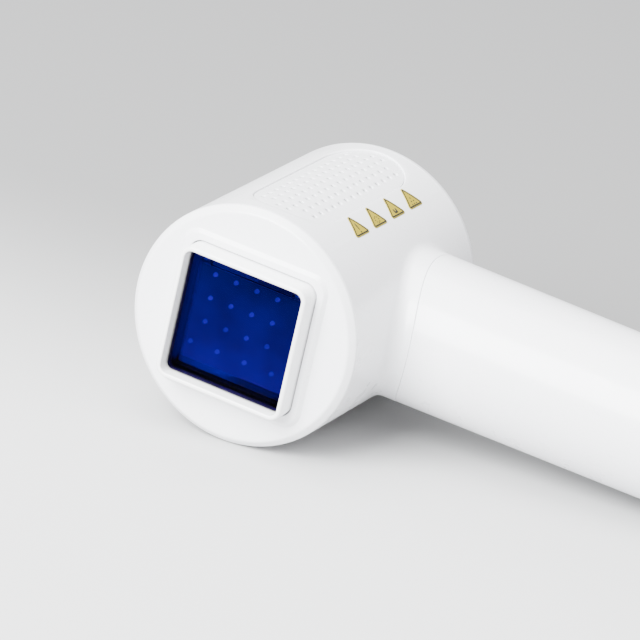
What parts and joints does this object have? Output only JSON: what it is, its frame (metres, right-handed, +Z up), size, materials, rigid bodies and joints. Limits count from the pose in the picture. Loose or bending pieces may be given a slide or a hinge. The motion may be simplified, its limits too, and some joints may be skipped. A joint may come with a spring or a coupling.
{
  "type": "ipl hair remover",
  "caption": "Hand-held light hair remover: a round head with a square blue treatment window, vents and warning marks, on a slim cross handle with a low-voltage inlet.",
  "frame": {"origin": "floor level, under the centre of the bounding box, with the head lying on its side and the handle end touching the floor", "axes": "+X along the handle, away from the head (it leans 5.3 degrees down towards its end); +Y along the head, from the treatment window to the rear cap; +Z up"},
  "size_m": [0.173, 0.081, 0.064],
  "materials": {
    "shell_white": "glossy moulded white",
    "trim_aluminium": "satin anodised",
    "filter_glass": "deep blue coated filter",
    "seal_rubber": "matt moulded",
    "dark_sheet": "black anodised",
    "circuit_board": "solder mask",
    "clear_lens": "clear moulded",
    "steel": "zinc plated",
    "inner_moulding": "fine matt",
    "black_plastic": "fine matt",
    "sink_aluminium": "extruded satin",
    "winding_copper": "varnished winding",
    "capacitor_sleeve": "shrink sleeve",
    "contact_brass": "polished",
    "label_yellow": "printed film",
    "lead_insulation": "silicone insulation",
    "filter_fabric": "fine nylon mesh"
  },
  "bodies": {
    "root": {"barrel_shell": "shell_white", "vent_grille_upper": "shell_white", "vent_grille_lower": "shell_white", "front_cover": "shell_white", "rear_cap": "shell_white", "handle_sleeve": "shell_white", "handle_end_cap": "shell_white", "button_bezel": "trim_aluminium", "filter_glass": "filter_glass", "window_seal": "seal_rubber", "chamber_liner": "dark_sheet", "emitter_board": "circuit_board", "emitter_array": "clear_lens", "flash_tube": "clear_lens", "tube_electrode_near": "steel", "tube_electrode_far": "steel", "lamp_mount": "inner_moulding", "contact_switch_1": "black_plastic", "contact_switch_2": "black_plastic", "heat_sink": "sink_aluminium", "fan_housing": "black_plastic", "fan_stator": "winding_copper", "control_board": "circuit_board", "power_switch": "black_plastic", "level_light_guide": "clear_lens", "trigger_coil": "winding_copper", "handle_chassis": "inner_moulding", "flash_switch": "black_plastic", "dust_filter_upper": "filter_fabric", "dust_filter_lower": "filter_fabric", "main_capacitor": "capacitor_sleeve", "power_board": "circuit_board", "step_up_transformer": "winding_copper", "charge_inductor": "black_plastic", "dc_socket": "black_plastic", "dc_socket_pin": "contact_brass", "lamp_lead_near": "lead_insulation", "lamp_lead_far": "lead_insulation", "marker_label_1": "label_yellow", "frame_spring_1": "steel", "fan_screw_1": "steel", "marker_label_2": "label_yellow", "frame_spring_2": "steel", "fan_screw_2": "steel", "marker_label_3": "label_yellow", "frame_spring_3": "steel", "fan_screw_3": "steel", "marker_label_4": "label_yellow", "frame_spring_4": "steel", "fan_screw_4": "steel"},
    "window_frame": {"contact_frame": "shell_white"},
    "power_key": {"power_button": "shell_white"},
    "flash_key": {"flash_button": "shell_white"},
    "rotor": {"fan_rotor": "black_plastic"}
  },
  "joints": [
    {"name": "contact_press", "type": "slide", "parent": "root", "child": "window_frame", "axis": [0, 1, 0], "range_m": [0, 0.0012], "stiffness_N_per_m": 600, "springref_m": -0.001, "deforming": ["frame_spring_1", "frame_spring_2", "frame_spring_3", "frame_spring_4"]},
    {"name": "power_press", "type": "slide", "parent": "root", "child": "power_key", "axis": [0, -1, 0], "range_m": [0, 0.0008], "stiffness_N_per_m": 900, "springref_m": -0.0006},
    {"name": "flash_press", "type": "slide", "parent": "root", "child": "flash_key", "axis": [0, -1, 0], "range_m": [0, 0.0012], "stiffness_N_per_m": 900, "springref_m": -0.0006},
    {"name": "fan_spin", "type": "hinge", "parent": "root", "child": "rotor", "pos_m": [-0.05452, 0.001, 0.032], "axis": [0, 1, 0], "continuous": true}
  ]
}
